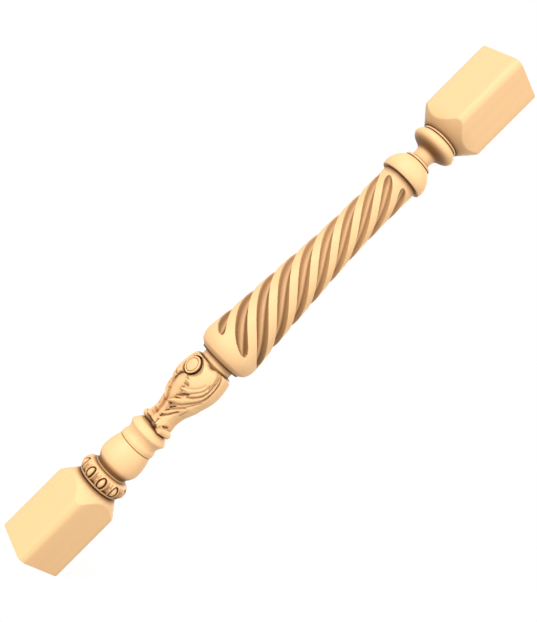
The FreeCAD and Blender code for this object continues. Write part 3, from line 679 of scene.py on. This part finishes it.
# Painted shade: the nearness of other wood and each point's painted shading darken the wood's colour along
# the tones.
open_sky = Wire.node(grain, "ShaderNodeAmbientOcclusion", sky_settings, {"Distance": shade_reach}, "AO")
glaze = Wire.node(grain, "ShaderNodeAttribute", {"attribute_name": "glaze"}, {}, "Fac")
lit_share = open_sky - shade_strength * glaze
shaded_colour = Wire.node(grain, "ShaderNodeValToRGB", {"stops": wood_and_shade_tones}, {"Fac": lit_share}, "Color")
toned = {0: shaded_colour, "Scale": tone}
colour = Wire.node(grain, "ShaderNodeVectorMath", {"operation": "SCALE"}, toned, "Vector")
gloss = wood_roughness + fibre_roughness * (fibres - noise_middle)
gloss = gloss + drift_roughness * (drift - noise_middle)
relief = {"Strength": fibre_relief, "Distance": fibre_height, "Height": fibres}
normal = Wire.node(grain, "ShaderNodeBump", {}, relief, "Normal")
shader = grain.nodes["Principled BSDF"]
shader.inputs["Specular IOR Level"].default_value = wood_specular
for socket, wire in (("Base Color", colour), ("Roughness", gloss), ("Normal", normal)):
    grain.links.new(wire.socket, shader.inputs[socket])
baluster.data.materials.clear()
baluster.data.materials.append(wood)
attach(baluster, "root")
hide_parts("baluster")

# Floor: a plain studio floor of pale matte paint, laid flat under the foot.
# It reads as white to the camera and keeps a soft shadow, and its paint is darker to the light that it throws
# back at the wood.
floor_size = 60
shown_paint = (0.95, 0.95, 0.95, 1)
hidden_paint = (0.4, 0.4, 0.4, 1)
white = (1, 1, 1, 1)
glow_share = 0.86


def background_rays(tree):
    """One where the camera, a gloss or a clear piece looks at the background, and nought for other light."""
    rays = ("Is Camera Ray", "Is Glossy Ray", "Is Transmission Ray")
    seen, mirrored, passed = (Wire.node(tree, "ShaderNodeLightPath", {}, {}, ray) for ray in rays)
    return seen + mirrored + passed


bpy.ops.mesh.primitive_plane_add(size=floor_size)
floor = bpy.context.object
floor.name = "studio_floor"
paint = bpy.data.materials.new("pale_floor")
paint.use_nodes = True
coat = paint.node_tree
coat.nodes.remove(coat.nodes["Principled BSDF"])
hidden = Wire.node(coat, "ShaderNodeBsdfDiffuse", {}, {"Color": hidden_paint})
matte = Wire.node(coat, "ShaderNodeBsdfDiffuse", {}, {"Color": shown_paint})
glow = Wire.node(coat, "ShaderNodeEmission", {}, {"Color": white, "Strength": 1.0})
shown = Wire.node(coat, "ShaderNodeMixShader", {}, {0: glow_share, 1: matte, 2: glow})
surface = Wire.node(coat, "ShaderNodeMixShader", {}, {0: background_rays(coat), 1: hidden, 2: shown})
coat.links.new(surface.socket, coat.nodes["Material Output"].inputs["Surface"])
floor.data.materials.append(paint)

# Light: a soft white room, a broad lamp before the front face and a weaker one behind.
# A small square lamp stands above on the right and fills the shaded face.
room_light = 0.82
lamp_spread = math.radians(35)
front_strength, front_direction = 2.15, (-0.14, 0.92, -0.34)
back_strength, back_direction = 0.8, (0.42, -0.8, -0.35)
fill_strength, fill_size = 6.5, 0.8
fill_place, fill_aim = Vector((1.4, -0.1, 1.35)), Vector((0, 0, 0.8))


def broad_lamp(strength, direction):
    bpy.ops.object.light_add(type="SUN")
    lamp = bpy.context.object
    lamp.data.energy = strength
    lamp.data.angle = lamp_spread
    lamp.rotation_euler = Vector(direction).to_track_quat("-Z", "Y").to_euler()


world = bpy.data.worlds.new("studio")
world.use_nodes = True
bpy.context.scene.world = world
room = world.node_tree.nodes["Background"]
room.inputs["Color"].default_value = white
room_level = room_light + (1 - room_light) * background_rays(world.node_tree)
world.node_tree.links.new(room_level.socket, room.inputs["Strength"])
broad_lamp(front_strength, front_direction)
broad_lamp(back_strength, back_direction)
bpy.ops.object.light_add(type="AREA", location=fill_place)
fill = bpy.context.object
fill.data.energy = fill_strength
fill.data.size = fill_size
fill.rotation_euler = (fill_aim - fill_place).to_track_quat("-Z", "Y").to_euler()

# Camera: level with the middle of the baluster and square to the edge between two block faces.
# It is rolled, so that the head points to the upper right of the picture.
camera_aim = Vector((-0.00085, -0.00085, 0.4486))
camera_distance = 1.13
picture_right = Vector((0.5, 0.5, math.sqrt(0.5)))
picture_up = Vector((-0.5, -0.5, math.sqrt(0.5)))
sensor_width, focal_pixels, half_picture_pixels = 36, 848.8, 311
camera_data = bpy.data.cameras.new("camera")
camera_data.lens = sensor_width / 2 * focal_pixels / half_picture_pixels
camera = bpy.data.objects.new("camera", camera_data)
bpy.context.collection.objects.link(camera)
picture_back = picture_right.cross(picture_up)
rolled_view = Matrix((picture_right, picture_up, picture_back)).transposed().to_4x4()
camera.matrix_world = Matrix.Translation(camera_aim + camera_distance * picture_back) @ rolled_view
bpy.context.scene.camera = camera
bpy.context.scene.view_settings.view_transform = "Standard"
